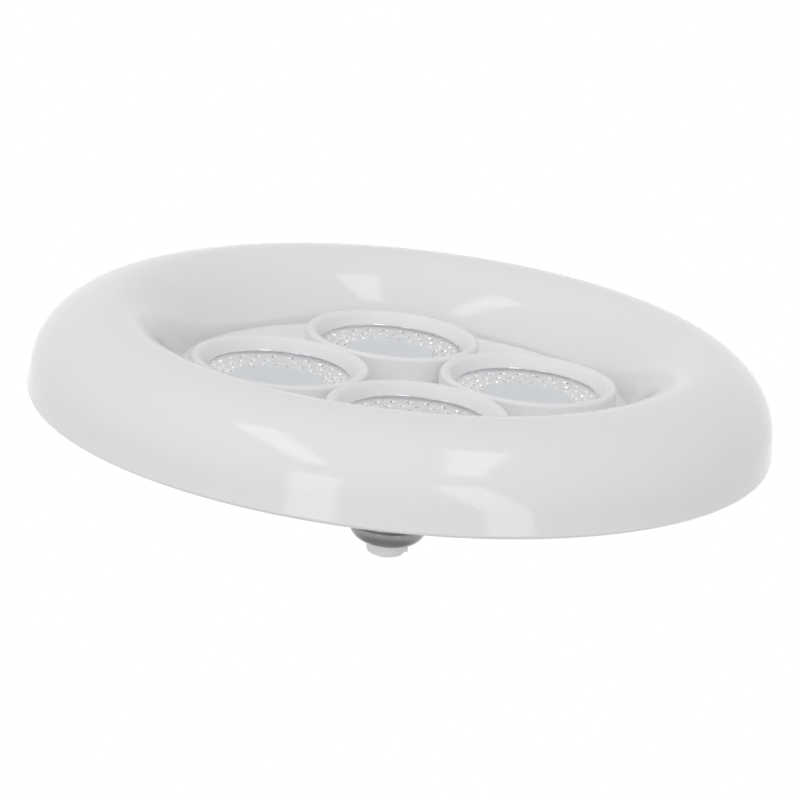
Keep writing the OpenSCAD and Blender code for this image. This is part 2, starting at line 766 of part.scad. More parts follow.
// Fusible resistor lying on the board, with its end caps
module fuse_resistor() {
  r = fuse_d / 2;
  waist = r - 0.3;
  color("seagreen") on_board(fuse_at) translate([0, -fuse_l / 2, r]) rotate([-90, 0, 0]) turned([
    [0, 0], [r, 0, 0.4], [r, fuse_cap_l - 0.2], [waist, fuse_cap_l + 0.2],
    [waist, fuse_l - fuse_cap_l - 0.2], [r, fuse_l - fuse_cap_l + 0.2], [r, fuse_l, 0.4], [0, fuse_l]
  ]);
}

// Disc varistor standing on the board
module varistor() {
  r = varistor_d / 2;
  color("royalblue") on_board(varistor_at) translate([0, varistor_t / 2, r]) rotate([90, 0, 0])
    turned([[0, 0], [r, 0, 0.8], [r, varistor_t, 0.8], [0, varistor_t]]);
}

// Connector for the light boards' leads
module lead_connector() {
  color("ivory") on_board(connector_at) difference() {
    translate([-connector_size[0] / 2, -connector_size[1] / 2, 0]) cube(connector_size);
    connector_ways() translate([0, 0, connector_size[2] - way_depth])
      cylinder(d = lead_d + 2 * fit_gap, h = way_depth + 1);
  }
}

// Puts the children at the connector's four ways
module connector_ways() {
  for (x = [-0.5, 0.5]) for (y = [-0.5, 0.5]) translate([x * way_pitch, y * way_pitch, 0]) children();
}

// Wire from the centre contact to the driver board
module live_wire() {
  end_z = driver_z - 2 * thread_gap;
  color("saddlebrown") wire([
    [0, 0, rim_z + 2 * thread_gap], [0, 0, rim_z + 4], [-2, 1, thread_z + 7], [-5, 3, end_z - 7],
    [-5, 3, end_z]
  ], mains_wire_d);
}

// Wire from the inside of the shell to the driver board
module neutral_wire() {
  start_r = root_r - shell_t - mains_wire_d / 2 - thread_gap;
  start_z = thread_z + 1.5 * thread_pitch;
  end_z = driver_z - 2 * thread_gap;
  color("royalblue") wire([
    [0, -start_r, start_z], [0, 1 - start_r, start_z + 2],
    [0, mains_wire_d - spigot_bore_r, shell_top_z - spigot_l + 1], [-2, -7, end_z - 7], [-2, -7, end_z]
  ], mains_wire_d);
}

// First points of a lead, straight up out of the connector at x, y
function lead_start(x, y) = [[x, y, way_z], [x, y, way_z + 3.2], [x, y, way_z + 5]];

// Leads from the connector to the ring board
module ring_board_wires() {
  y = connector_at[1] + way_pitch / 2;
  end_y = ring_board_bore_r + 3;
  color("crimson") for (side = [-1, 1]) let(x = connector_at[0] + side * way_pitch / 2, x2 = 1.1 * side)
    wire(concat(lead_start(x, y), [
      [x - 4, y + 9, way_z + 7], [7 + 2 * side, 50, seat_z - 4], [x2, ring_lead_y - 5, seat_z - 3],
      [x2, ring_lead_y, seat_z], [x2, ring_lead_y + 2, board_z + 1], [x2, end_y, board_z + lead_d / 2]
    ]), lead_d);
}

// Leads from the connector to the centre board
module spot_board_wires() {
  y = connector_at[1] - way_pitch / 2;
  color("crimson") for (side = [-1, 1]) let(x = connector_at[0] + side * way_pitch / 2, y2 = -1.2 * side)
    wire(concat(lead_start(x, y), [
      [x - 4, y - 3 - 1.5 * side, seat_z - 4], [10, -2 * side, seat_z - 3], [3, y2, seat_z - 3],
      [0, y2, seat_z], [0, y2, board_z - leg_tuck]
    ]), lead_d, [0, 1, 0]);
}

module plate_screws() {
  color("silver") placed(around(plate_screw_count), plate_screw_r) translate([0, 0, deck_z])
    screw(screw_d, screw_head_d, screw_head_h, plate_screw_l);
}

module panel_screws() {
  color("silver") placed(spot_gaps, panel_screw_r) translate([0, 0, seat_z])
    rotate([180, 0, 0]) screw(screw_d, screw_head_d, screw_head_h, panel_screw_l);
}

module collar_screws() {
  color("silver") placed(around(collar_screw_count), collar_screw_r) translate([0, 0, dish_z])
    rotate([180, 0, 0]) screw(small_screw_d, small_head_d, small_head_h, collar_screw_l);
}

module driver_screws() {
  color("silver") driver_places() translate([0, 0, driver_top_z])
    screw(small_screw_d, small_head_d, small_head_h, driver_fix_l);
}

ring_diffuser();
spot_panel();
spot_lens(spots[0]);  // spot_lens_1
spot_lens(spots[1]);  // spot_lens_2
spot_lens(spots[2]);  // spot_lens_3
spot_lens(spots[3]);  // spot_lens_4
spot_reflector(spots[0]);  // spot_reflector_1
spot_reflector(spots[1]);  // spot_reflector_2
spot_reflector(spots[2]);  // spot_reflector_3
spot_reflector(spots[3]);  // spot_reflector_4
spot_led_board();
spot_leds();
ring_led_board();
ring_leds();
carrier_plate();
back_housing();
neck_collar();
screw_shell();
cap_insulator();
centre_contact();
driver_board();
bridge_rectifier();
input_capacitor();
output_capacitor();
choke_core();
choke_winding();
driver_chip();
fuse_resistor();
varistor();
lead_connector();
live_wire();
neutral_wire();
ring_board_wires();
spot_board_wires();
plate_screws();
panel_screws();
collar_screws();
driver_screws();
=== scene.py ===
# Looks of the screw-in lamp: an opal ring round four crystal spots, on an E27 cap.
# Lengths are in metres in the CAD part's frame. The origin is the tip of the centre contact, and
# +Z is the side that gives the light.
import json
import math

import bmesh
import bpy
import numpy as np
from mathutils import Matrix, Vector


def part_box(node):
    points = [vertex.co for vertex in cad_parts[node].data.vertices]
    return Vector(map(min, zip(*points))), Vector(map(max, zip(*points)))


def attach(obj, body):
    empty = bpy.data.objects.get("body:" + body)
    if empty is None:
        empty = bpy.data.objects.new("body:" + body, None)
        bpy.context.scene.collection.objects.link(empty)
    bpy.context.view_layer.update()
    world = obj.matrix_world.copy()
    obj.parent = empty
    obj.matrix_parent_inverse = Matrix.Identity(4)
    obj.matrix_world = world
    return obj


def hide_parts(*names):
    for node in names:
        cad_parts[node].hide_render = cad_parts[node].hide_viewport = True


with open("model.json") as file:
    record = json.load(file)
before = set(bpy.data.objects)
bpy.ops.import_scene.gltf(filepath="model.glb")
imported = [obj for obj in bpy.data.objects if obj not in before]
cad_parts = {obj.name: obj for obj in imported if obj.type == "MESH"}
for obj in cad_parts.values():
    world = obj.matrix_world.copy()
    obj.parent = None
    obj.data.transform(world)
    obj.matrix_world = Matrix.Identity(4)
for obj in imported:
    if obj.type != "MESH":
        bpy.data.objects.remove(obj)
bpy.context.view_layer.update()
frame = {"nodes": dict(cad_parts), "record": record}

MM = 0.001
scene = bpy.context.scene
record = frame["record"]
slot_of = {part["node"]: part["material_slot"] for part in record["subparts"]}

# Sizes that the CAD part has too
CREST_R = 99.0
RING_R = 125.0
RING_DRAFT = 0.7
RING_WALL_H = 7.8
RING_FOOT_ROUND = 1.4
RING_T = 2.0
RING_FLANGE_W = 7.5
WELL_R = 75.7
DOME_POWER = 1.9
SLOPE_POWER = 1.75
SPOT_R = 42.0
FROST_R = 14.4
WINDOW_R = 24.4
LENS_R = 27.35
LENS_T = 2.2
LENS_DIP = 2.4
CUT_DEPTH = 0.8
STONES = 24
STONE_ROWS = 3
THREAD_R = 13.1
THREAD_DEPTH = 0.95
THREAD_PITCH = 3.629
THREAD_TURNS = 4
SHOULDER_H = 5.6
SHOULDER_BULGE = 0.7
SHELL_RIM_R = 8.8
SHELL_LIP_W = 1.3
SHELL_T = 0.4
LED_SIZE = (2.8, 3.5, 0.8)
SPOT_LED_R = 9.0
SPOT_LED_COUNT = 8
SPOT_PLACES = [(SPOT_R, 0), (0, SPOT_R), (-SPOT_R, 0), (0, -SPOT_R)]
PANEL_T = 2.0
SOCKET_R = 30.0
SOCKET_BORE_R = 27.6
SOCKET_H = 8.6
LAND_W = 3.0
WINDOW_DEPTH = 4.0
BOSS_RS = (1.45, 3.2)
BOSS_PLACE_R = 57.95

# Sizes that only the scene has: the ring's slope and its seam with the centre moulding
SLOPE_START = 91.5
SEAM_LAP = 0.02
RING_TURNS = 320

# The floor's fillet up to the slope, and the sockets' rolled edges
FLOOR_FILLET_R = 2.6
FLOOR_FILLET_H = 2.4
FLOOR_REACH = 1.05
FLOOR_EDGE_LAP = 0.2
FLOOR_FILLET_STEPS = 8
SOCKET_LIP_ROUND = 1.4
SOCKET_ROLL = 2.8
SOCKET_ARC_STEPS = 10
SOCKET_TURNS = 160
BOSS_TURNS = 48

# The stones' flat tables, as shares, and the sag of the creases between them
STONE_TABLE = 0.42
STONE_TABLE_DEPTH = 0.3
STONE_CREASE = 0.12
STONE_SHARP = 8

# The lens's bead, the silvered wall under it, and its edge in the socket
BEAD_R = 0.36
BEAD_STEPS = 6
BEAD_GAP = 0.05
LENS_WALL_GAP = 0.12
LENS_GROOVE = 0.3
LENS_GROOVE_DEPTH = 0.35
LENS_EDGE_ROUND = 0.4
LENS_EDGE_CUT = 0.12

# The shell's lip, and how far the thread takes to fade in and out, in pitches
SHELL_LIP_GAP = 0.05
SHELL_LIP_ROUND = 0.35
SHELL_INNER_START = 0.3
THREAD_FADE_IN = 0.5
THREAD_FADE_OUT = 0.4
SHELL_TURNS = 128
SHELL_HEIGHTS = 150
SHOULDER_STEPS = 23
SHELL_SHARP = 40

# Each level of an LED package: its width as a share, and how far it lies below the top
LED_LEVELS = ((1.0, LED_SIZE[2]), (1.0, 0.06), (0.95, 0.0), (0.74, 0.0), (0.62, 0.25))


# Materials
def link(tree, a, b):
    tree.links.new(a, b)


def object_coords(tree, scale):
    """The object's own coordinates, in metres, times scale (a number or three)."""
    coords = tree.nodes.new("ShaderNodeTexCoord")
    mapping = tree.nodes.new("ShaderNodeMapping")
    mapping.inputs["Scale"].default_value = (scale,) * 3 if isinstance(scale, (int, float)) else scale
    link(tree, coords.outputs["Object"], mapping.inputs["Vector"])
    return mapping.outputs["Vector"]


def noise(tree, scale, detail=3.0, roughness=0.5):
    """Noise from 0 to 1, with scale in cycles a metre."""
    node = tree.nodes.new("ShaderNodeTexNoise")
    node.inputs["Scale"].default_value = 1.0
    node.inputs["Detail"].default_value = detail
    node.inputs["Roughness"].default_value = roughness
    link(tree, object_coords(tree, scale), node.inputs["Vector"])
    return node.outputs["Fac"]


def spread(tree, value, low, high):
    """Maps the middle of a noise to the range from low to high."""
    node = tree.nodes.new("ShaderNodeMapRange")
    node.inputs["From Min"].default_value = 0.3
    node.inputs["From Max"].default_value = 0.7
    node.inputs["To Min"].default_value = low
    node.inputs["To Max"].default_value = high
    link(tree, value, node.inputs["Value"])
    return node.outputs["Result"]


def bumps(tree, layers):
    """Chains bump nodes, one for each (scale, height in metres, detail), and returns the normal."""
    normal = None
    for scale, height, detail in layers:
        node = tree.nodes.new("ShaderNodeBump")
        node.inputs["Strength"].default_value = 1.0
        node.inputs["Distance"].default_value = height
        link(tree, noise(tree, scale, detail), node.inputs["Height"])
        if normal is not None:
            link(tree, normal, node.inputs["Normal"])
        normal = node.outputs["Normal"]
    return normal


def finish(name, color, roughness, metallic=0.0, tone=0.03, tone_scale=40, rough_spread=0.04,
           rough_scale=90, layers=(), shade=None, **sockets):
    """A Principled material whose colour and roughness wander a little, with layers of fine relief.

    tone is how far the colour wanders, and shade the second colour that it wanders to."""
    material = bpy.data.materials.new(name)
    material.use_nodes = True
    tree = material.node_tree
    shader = tree.nodes["Principled BSDF"]
    second = shade or tuple(c * (1 - tone) for c in color)
    mix = tree.nodes.new("ShaderNodeMix")
    mix.data_type = "RGBA"
    mix.inputs["A"].default_value = (*color, 1)
    mix.inputs["B"].default_value = (*second, 1)
    link(tree, spread(tree, noise(tree, tone_scale), 0, 1), mix.inputs["Factor"])
    link(tree, mix.outputs["Result"], shader.inputs["Base Color"])
    low, high = max(roughness - rough_spread, 0.0), min(roughness + rough_spread, 1.0)
    link(tree, spread(tree, noise(tree, rough_scale), low, high), shader.inputs["Roughness"])
    if layers:
        link(tree, bumps(tree, layers), shader.inputs["Normal"])
    shader.inputs["Metallic"].default_value = metallic
    for socket, value in sockets.items():
        shader.inputs[socket.replace("_", " ")].default_value = value
    return material


OPAL = finish("opal", (0.88, 0.88, 0.888), 0.1, metallic=0.12, tone=0.012, tone_scale=12,
              rough_spread=0.02, rough_scale=30, layers=[(26, 0.00003, 1.0), (500, 0.000001, 2.0)],
              IOR=1.52, Subsurface_Weight=0.25, Subsurface_Scale=0.005,
              Subsurface_Radius=(1.0, 0.95, 0.9))
PANEL = finish("white_panel", (0.92, 0.92, 0.924), 0.3, tone=0.004, tone_scale=12,
               rough_spread=0.004, rough_scale=30, layers=[(60, 0.00002, 1.0), (800, 0.000001, 2.0)],
               IOR=1.45)
CRYSTAL = finish("clear_crystal", (0.985, 0.993, 1.0), 0.02, tone=0.005, rough_spread=0.012,
                 rough_scale=300, layers=[(120, 0.000004, 2.0)], IOR=1.3, Transmission_Weight=1.0)
SILVERED = finish("silvered_crystal", (0.99, 0.99, 0.993), 0.16, metallic=0.03, tone=0.03,
                  tone_scale=420, rough_spread=0.06, rough_scale=900, layers=[(900, 0.00001, 2.0)])
FROST = finish("frosted_crystal", (0.87, 0.895, 0.935), 0.5, tone=0.01, rough_spread=0.05, rough_scale=900,
               layers=[(2500, 0.00002, 3.0)], IOR=1.49, Transmission_Weight=0.1)
MIRROR = finish("stone_tip", (0.97, 0.97, 0.975), 0.04, metallic=0.85, tone=0.04, tone_scale=420,
                rough_spread=0.02, rough_scale=900, layers=[(900, 0.00001, 2.0)])
BEAD = finish("lens_bead", (0.68, 0.7, 0.73), 0.08, metallic=1.0, tone=0.06,
              rough_spread=0.03, rough_scale=600, layers=[(500, 0.000004, 2.0)])
PHOSPHOR = finish("led_phosphor", (0.86, 0.72, 0.2), 0.35, tone=0.05, tone_scale=900,
                  layers=[(1500, 0.00001, 2.0)], Subsurface_Weight=0.2, Subsurface_Scale=0.0005)

SLOT_FINISHES = {
    "opal": OPAL,
    "white_panel": PANEL,
    "clear_crystal": CRYSTAL,
    "bright_reflector": finish("bright_reflector", (0.88, 0.89, 0.9), 0.09, metallic=1.0, tone=0.02,
                               layers=[(220, 0.00001, 2.0)]),
    "white_board": finish("white_board", (0.82, 0.83, 0.82), 0.42, tone=0.03, tone_scale=60,
                          layers=[(900, 0.000008, 3.0)], IOR=1.5, Coat_Weight=0.15, Coat_Roughness=0.3),
    "led_package": finish("led_package", (0.86, 0.86, 0.84), 0.4, tone=0.02, tone_scale=300),
    "bare_aluminium": finish("bare_aluminium", (0.78, 0.79, 0.8), 0.36, metallic=1.0,
                             tone=0.06, tone_scale=35, rough_spread=0.1,
                             layers=[((60, 1800, 60), 0.000006, 2.0)]),
    "white_housing": finish("white_housing", (0.83, 0.83, 0.82), 0.42, tone=0.02, tone_scale=18,
                            rough_spread=0.06, layers=[(1600, 0.00002, 3.0), (24, 0.00004, 1.0)], IOR=1.5),
    "collar_plastic": finish("collar_plastic", (0.82, 0.82, 0.81), 0.36, tone=0.02, tone_scale=40,
                             layers=[(1800, 0.000012, 3.0)], IOR=1.5),
    # The nickel's colour, far darker than real nickel, is painted shade: it stands in for dark surroundings
    # that the shell reflects.
    "nickel": finish("nickel", (0.29, 0.29, 0.295), 0.18, metallic=1.0, tone=0.08, tone_scale=120,
                     rough_spread=0.06, rough_scale=260,
                     layers=[((300, 300, 3000), 0.000004, 2.0), (420, 0.000006, 2.0)]),
    "cap_plastic": finish("cap_plastic", (0.93, 0.93, 0.92), 0.4, tone=0.05, tone_scale=150,
                          layers=[(1500, 0.00002, 3.0)], IOR=1.5),
    "contact_brass": finish("contact_brass", (0.8, 0.62, 0.34), 0.24, metallic=1.0, tone=0.15, tone_scale=300,
                            layers=[(800, 0.000008, 3.0)]),
    "green_board": finish("green_board", (0.02, 0.16, 0.07), 0.35, tone=0.2, tone_scale=200,
                          layers=[(700, 0.00001, 3.0)], Coat_Weight=0.3, Coat_Roughness=0.2),
    "black_package": finish("black_package", (0.02, 0.02, 0.022), 0.5, tone=0.2, tone_scale=500,
                            layers=[(3000, 0.00001, 3.0)]),
    "capacitor_sleeve": finish("capacitor_sleeve", (0.03, 0.035, 0.05), 0.3, tone=0.15, tone_scale=200,
                               layers=[(300, 0.00001, 2.0)], Coat_Weight=0.3, Coat_Roughness=0.15),
    "ferrite": finish("ferrite", (0.07, 0.068, 0.065), 0.7, tone=0.25, tone_scale=600,
                      layers=[(2500, 0.00002, 4.0)]),
    "copper_wire": finish("copper_wire", (0.72, 0.34, 0.14), 0.28, metallic=1.0, tone=0.15, tone_scale=300,
                          layers=[((40, 40, 5200), 0.00006, 0.0)]),
    "green_ceramic": finish("green_ceramic", (0.1, 0.3, 0.2), 0.4, tone=0.12, tone_scale=400,
                            layers=[(1500, 0.00001, 3.0)]),
    "blue_epoxy": finish("blue_epoxy", (0.04, 0.12, 0.45), 0.3, tone=0.12, tone_scale=400,
                         layers=[(600, 0.00002, 2.0)], Coat_Weight=0.3, Coat_Roughness=0.15),
    "ivory_plastic": finish("ivory_plastic", (0.8, 0.75, 0.6), 0.4, tone=0.04, tone_scale=200,
                            layers=[(1800, 0.00001, 3.0)]),
    "brown_insulation": finish("brown_insulation", (0.2, 0.09, 0.04), 0.42, tone=0.1, tone_scale=300,
                               layers=[(1500, 0.00001, 3.0)]),
    "blue_insulation": finish("blue_insulation", (0.03, 0.12, 0.4), 0.42, tone=0.1, tone_scale=300,
                              layers=[(1500, 0.00001, 3.0)]),
    "red_insulation": finish("red_insulation", (0.5, 0.03, 0.03), 0.42, tone=0.1, tone_scale=300,
                             layers=[(1500, 0.00001, 3.0)]),
    "zinc_steel": finish("zinc_steel", (0.7, 0.71, 0.72), 0.3, metallic=1.0, tone=0.08, tone_scale=400,
                         layers=[(1500, 0.00001, 3.0)]),
}

for node_name, node in frame["nodes"].items():
    for material_slot in node.material_slots:
        material_slot.link = "OBJECT"
        material_slot.material = SLOT_FINISHES[slot_of[node_name]]


# Mesh helpers
def add_piece(name, points, faces, materials, sharp=30, face_materials=None):
    """A smooth-shaded mesh object, with edges sharper than sharp degrees kept crisp."""
    mesh = bpy.data.meshes.new(name)
    mesh.from_pydata([tuple(p) for p in points], [], [tuple(f) for f in faces])
    for material in materials:
        mesh.materials.append(material)
    if face_materials is not None:
        mesh.polygons.foreach_set("material_index", face_materials)
    work = bmesh.new()
    work.from_mesh(mesh)
    bmesh.ops.remove_doubles(work, verts=work.verts, dist=1e-7)
    bmesh.ops.dissolve_degenerate(work, edges=work.edges, dist=1e-8)
    bmesh.ops.recalc_face_normals(work, faces=work.faces)
    work.to_mesh(mesh)
    work.free()
    mesh.polygons.foreach_set("use_smooth", [True] * len(mesh.polygons))
    mesh.set_sharp_from_angle(angle=math.radians(sharp))
    piece = bpy.data.objects.new(name, mesh)
    scene.collection.objects.link(piece)
    return piece


def turned(outline, turns=192, centre=(0.0, 0.0)):
    """A closed outline of (radius, height) in millimetres, turned about an upright axis: points and faces."""
    outline = np.array(outline, float) * MM
    count = len(outline)
    angles = np.linspace(0, 2 * math.pi, turns, endpoint=False)
    points = np.stack([
        centre[0] + np.outer(np.cos(angles), outline[:, 0]),
        centre[1] + np.outer(np.sin(angles), outline[:, 0]),
        np.tile(outline[:, 1], (turns, 1)),
    ], axis=-1).reshape(-1, 3)
    faces = [(i * count + j, i * count + (j + 1) % count,
              (i + 1) % turns * count + (j + 1) % count, (i + 1) % turns * count + j)
             for i in range(turns) for j in range(count)]
    return points, faces


def rounded(corners, steps=6):
    """A closed outline of (x, y) or (x, y, rounding) corners as points, with each rounding as an arc."""
    out = []
    for i, corner in enumerate(corners):
        here = np.array(corner[:2], float)
        radius = corner[2] if len(corner) > 2 else 0
        if not radius:
            out.append(here)
            continue
        u = np.array(corners[i - 1][:2], float) - here
        v = np.array(corners[(i + 1) % len(corners)][:2], float) - here
        u, v = u / np.linalg.norm(u), v / np.linalg.norm(v)
        half = math.acos(np.clip(u @ v, -1, 1)) / 2
        middle = here + (u + v) / np.linalg.norm(u + v) * radius / math.sin(half)
        start = here + u * radius / math.tan(half) - middle
        end = here + v * radius / math.tan(half) - middle
        a0, a1 = math.atan2(start[1], start[0]), math.atan2(end[1], end[0])
        turn = (a1 - a0 + math.pi) % (2 * math.pi) - math.pi
        out += [middle + radius * np.array([math.cos(a0 + turn * k / steps), math.sin(a0 + turn * k / steps)])
                for k in range(steps + 1)]
    return out


def quarter(centre, a, b, power, t0, t1, steps=64):
    """Points of a superellipse about centre, with half axes a and b, from angle t0 to t1."""
    out = []
    for t in np.radians(np.linspace(t0, t1, steps + 1)):
        x = math.copysign(abs(math.cos(t)) ** (2 / power), math.cos(t)) if abs(math.cos(t)) > 1e-9 else 0.0
        out.append((centre[0] + a * x, centre[1] + b * abs(math.sin(t)) ** (2 / power)))
    return out


# Opal ring
ring_low, ring_high = (corner.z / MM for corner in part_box("ring_diffuser"))
deck_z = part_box("ring_led_board")[0].z / MM


def ring_outline():
    """The doughnut's section: foot, outer wall, dome, slope into the well, flange, and back inside."""
    wall_top = (RING_R - RING_DRAFT, ring_low + RING_WALL_H)
    dome = ((CREST_R, wall_top[1]), wall_top[0] - CREST_R, ring_high - wall_top[1])
    slope = ((CREST_R, deck_z), CREST_R - WELL_R, ring_high - deck_z)
    foot = rounded([(RING_R - RING_T, ring_low), (RING_R, ring_low, RING_FOOT_ROUND), wall_top])[:-1]
    outer = quarter(*dome, DOME_POWER, 0, 90) + quarter(*slope, SLOPE_POWER, SLOPE_START, 180)
    flange_r = WELL_R - RING_FLANGE_W
    inner_slope = (slope[0], slope[1] - RING_T, slope[2] - RING_T)
    inner_dome = (dome[0], dome[1] - RING_T, dome[2] - RING_T)
    under = quarter(*inner_slope, SLOPE_POWER, 180, SLOPE_START) + quarter(*inner_dome, DOME_POWER, 90, 0)
    above_seat = [p for p in outer if p[1] > deck_z + RING_T]
    flange = [(WELL_R + SEAM_LAP, deck_z + RING_T), (flange_r, deck_z + RING_T), (flange_r, deck_z)]
    return foot + above_seat + flange + under


ring = add_piece("ring_opal", *turned(ring_outline(), RING_TURNS), [OPAL])
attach(ring, "root")
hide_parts("ring_diffuser")


# Centre moulding
def add_solid(solid, points, faces):
    """Puts another closed solid's points and faces, in metres, behind those that solid already has."""
    first = len(solid[0])
    solid[0].extend(tuple(p) for p in points)
    solid[1].extend(tuple(first + i for i in face) for face in faces)


def pierced_plate(low, high, fillet_r, fillet_top):
    """A round plate with a hole under each spot, whose edge sweeps up to the ring's slope."""
    turns, hole_turns = 192, 120
    hole_r = (SOCKET_R + SOCKET_BORE_R) / 2
    inner_r = WELL_R - fillet_r
    loops = [(0, 0, inner_r, turns)] + [(*place, hole_r, hole_turns) for place in SPOT_PLACES]
    work = bmesh.new()
    starts = []
    for x, y, radius, count in loops:
        starts.append((len(work.verts), count))
        loop = [work.verts.new((x + radius * math.cos(2 * math.pi * k / count),
                                y + radius * math.sin(2 * math.pi * k / count), 0)) for k in range(count)]
        for a, b in zip(loop, loop[1:] + loop[:1]):
            work.edges.new((a, b))
    bmesh.ops.triangle_fill(work, edges=work.edges[:], use_beauty=True)
    work.verts.index_update()
    flat = [(v.co.x, v.co.y) for v in work.verts]
    cover = [[v.index for v in face.verts] for face in work.faces]
    work.free()
    count = len(flat)
    points = [(x * MM, y * MM, z * MM) for z in (high, low) for x, y in flat]
    faces = cover + [[i + count for i in face] for face in cover]
    for first, turns_here in starts[1:]:
        for k in range(turns_here):
            a, b = first + k, first + (k + 1) % turns_here
            faces.append((a, b, b + count, a + count))
    sweep = [(inner_r + (fillet_r + FLOOR_REACH) * math.sin(t), high + fillet_top * (1 - math.cos(t)))
             for t in np.linspace(0, math.pi / 2, FLOOR_FILLET_STEPS + 1)[1:]]
    sweep.append((WELL_R + FLOOR_EDGE_LAP, low))
    before = list(range(turns))
    for radius, z in sweep:
        here = list(range(len(points), len(points) + turns))
        points += [(radius * MM * math.cos(2 * math.pi * k / turns),
                    radius * MM * math.sin(2 * math.pi * k / turns), z * MM) for k in range(turns)]
        faces += [(before[k], before[(k + 1) % turns], here[(k + 1) % turns], here[k]) for k in range(turns)]
        before = here
    faces += [(before[k], before[(k + 1) % turns], count + (k + 1) % turns, count + k) for k in range(turns)]
    return points, faces


def centre_moulding():
    """Floor, four rolled sockets with tapered cups, and the screw bosses underneath."""
    low, high = (corner.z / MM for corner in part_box("spot_panel"))
    floor_top = high - SOCKET_H
    under = floor_top - PANEL_T
    window_z = high - WINDOW_DEPTH
    solid = ([], [])
    add_solid(solid, *pierced_plate(under, floor_top, FLOOR_FILLET_R, FLOOR_FILLET_H))
    socket = rounded([
        (SOCKET_R, under), (SOCKET_R, high, SOCKET_LIP_ROUND), (SOCKET_R - LAND_W, high, SOCKET_ROLL),
        (WINDOW_R, window_z), (SOCKET_BORE_R, window_z), (SOCKET_BORE_R, under),
    ], SOCKET_ARC_STEPS)
    bore_r, boss_r = BOSS_RS
    boss = [(bore_r, low), (boss_r, low), (boss_r, under), (bore_r, under)]
    for x, y in SPOT_PLACES:
        add_solid(solid, *turned(socket, SOCKET_TURNS, (x * MM, y * MM)))
    for k in range(4):
        angle = math.pi / 2 * (k + 0.5)
        place = (BOSS_PLACE_R * MM * math.cos(angle), BOSS_PLACE_R * MM * math.sin(angle))
        add_solid(solid, *turned(boss, BOSS_TURNS, place))
    return solid


panel = add_piece("spot_panel_moulding", *centre_moulding(), [PANEL])
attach(panel, "root")
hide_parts("spot_panel")


# Crystal lenses
def lens_parts(centre, low):
    """A dished disc: a frosted flat middle, a clear band that slopes up over rows of silvered stones, a
    bright bead round the band, and an edge that the socket hides.

    Each face comes with its kind: 0 clear, 1 frosted, 2 silvered, 3 bead, 4 mirror. Heights start at
    the underside of the edge."""
    stones, rows = STONES, STONE_ROWS
    points, faces, kinds = [], [], []

    def add(radius, angle, z):
        points.append((centre[0] + radius * MM * math.cos(angle), centre[1] + radius * MM * math.sin(angle),
                       (low + z) * MM))
        return len(points) - 1

    def circle(radius, z):
        return [add(radius, math.pi * k / stones, z) for k in range(2 * stones)]

    def bridge(a, b, kind=0):
        for k in range(len(a)):
            faces.append((a[k], a[(k + 1) % len(a)], b[(k + 1) % len(b)], b[k]))
            kinds.append(kind)

    def crease(a, b):
        """The point halfway between two corners of a stone, a little below them."""
        at = (np.array(points[a]) + np.array(points[b])) / 2
        points.append((at[0], at[1], at[2] - STONE_CREASE * MM))
        return len(points) - 1

    step = (WINDOW_R - FROST_R) / (rows + 1)
    drop = LENS_DIP / (rows + 1)
    lattice = [circle(FROST_R + step * j, CUT_DEPTH + drop * (j - rows - 1)) for j in range(rows + 2)]
    for j in range(1, rows + 1):
        for k in range(stones):
            m = 2 * k + (j + 1) % 2
            corners = [lattice[j][m - 1], lattice[j + 1][m],
                       lattice[j][(m + 1) % (2 * stones)], lattice[j - 1][m]]
            rim = [p for a, b in zip(corners, corners[1:] + corners[:1]) for p in (a, crease(a, b))]
            middle = np.array(points[lattice[j][m]])
            table = []
            for p in rim:
                at = middle + (np.array(points[p]) - middle) * STONE_TABLE
                points.append((at[0], at[1], middle[2] - CUT_DEPTH * STONE_TABLE_DEPTH * MM))
                table.append(len(points) - 1)
            for a, b, c, d in zip(rim, rim[1:] + rim[:1], table[1:] + table[:1], table):
                faces.append((a, b, c, d))
                kinds.append(2)
            points.append((middle[0], middle[1], middle[2] - CUT_DEPTH * MM))
            for a, b in zip(table, table[1:] + table[:1]):
                faces.append((a, b, len(points) - 1))
                kinds.append(4)
    for j, near in ((0, 1), (rows + 1, rows)):
        for k in range(stones):
            m = 2 * k + (near + 1) % 2
            for side in ((m - 1) % (2 * stones), (m + 1) % (2 * stones)):
                faces.append((lattice[j][m], crease(lattice[j][m], lattice[near][side]), lattice[near][side],
                              lattice[j][side]))
                kinds.append(2)
    frost_low = circle(FROST_R, -LENS_DIP)
    bridge(frost_low, lattice[0], 1)
    faces.append(tuple(frost_low[::-1]))
    kinds.append(1)
    wall_top = circle(WINDOW_R + LENS_WALL_GAP, LENS_T - LENS_GROOVE_DEPTH)
    groove = circle(WINDOW_R + LENS_GROOVE, LENS_T - LENS_GROOVE_DEPTH)
    seat_in, seat_out = circle(WINDOW_R + LENS_GROOVE, 0), circle(LENS_R, 0)
    edge = [circle(LENS_R, LENS_T - LENS_EDGE_ROUND), circle(LENS_R - LENS_EDGE_CUT, LENS_T - LENS_EDGE_CUT),
            circle(LENS_R - LENS_EDGE_ROUND, LENS_T)]
    bead_out = WINDOW_R - BEAD_GAP
    bead = [circle(bead_out - BEAD_R * (1 - math.cos(t)), LENS_T + BEAD_R * math.sin(t))
            for t in np.linspace(0, math.pi, BEAD_STEPS + 1)]
    rings = [lattice[-1], wall_top, groove, seat_in, seat_out] + edge + bead
    ring_kinds = [2] + [1] * (len(rings) - 2 - BEAD_STEPS) + [3] * BEAD_STEPS
    for a, b, kind in zip(rings, rings[1:], ring_kinds):
        bridge(a, b, kind)
    middle = circle(FROST_R, LENS_T - LENS_DIP)
    bridge(bead[-1], middle)
    faces.append(tuple(middle))
    kinds.append(1)
    return points, faces, kinds


